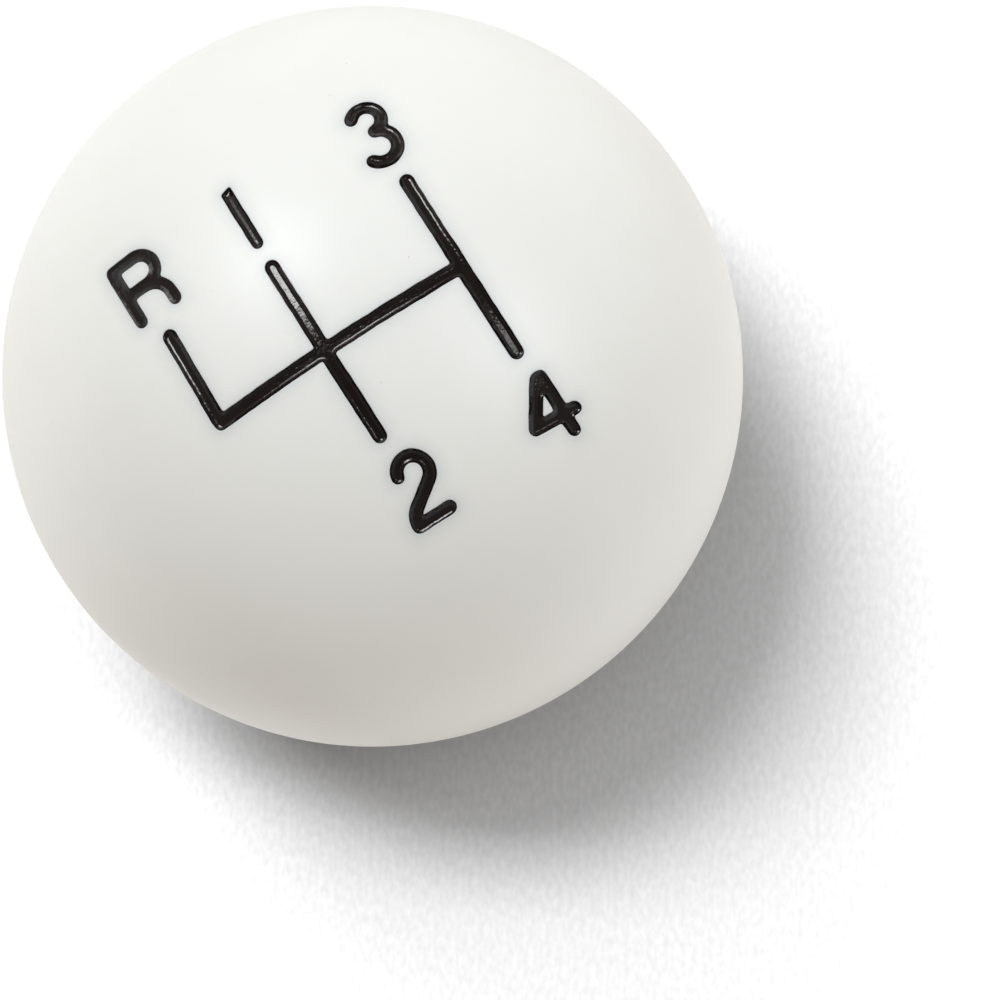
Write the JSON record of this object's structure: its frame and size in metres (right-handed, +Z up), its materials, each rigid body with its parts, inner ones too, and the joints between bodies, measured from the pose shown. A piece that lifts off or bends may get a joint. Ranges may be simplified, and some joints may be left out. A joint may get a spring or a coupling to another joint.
{
  "type": "gear shift knob",
  "caption": "Round white ball knob for a gear lever, with an engraved, black-filled shift pattern on its crown and a threaded brass insert in its flat base.",
  "frame": {"origin": "centre of the flat base, on the knob's axis", "axes": "+Z up along the knob's axis from the lever, +Y towards the front of the car (top of the shift pattern), +X to the right of the pattern"},
  "size_m": [0.0508, 0.0508, 0.0483],
  "materials": {
    "white_plastic": "moulded, polished gloss",
    "black_enamel": "brushed-in gloss enamel",
    "brass": "turned"
  },
  "bodies": {
    "root": {"ball": "white_plastic", "threaded_insert": "brass", "gate_fill": "black_enamel", "reverse_fill": "black_enamel", "first_fill": "black_enamel", "second_fill": "black_enamel", "third_fill": "black_enamel", "fourth_fill": "black_enamel"}
  },
  "joints": []
}
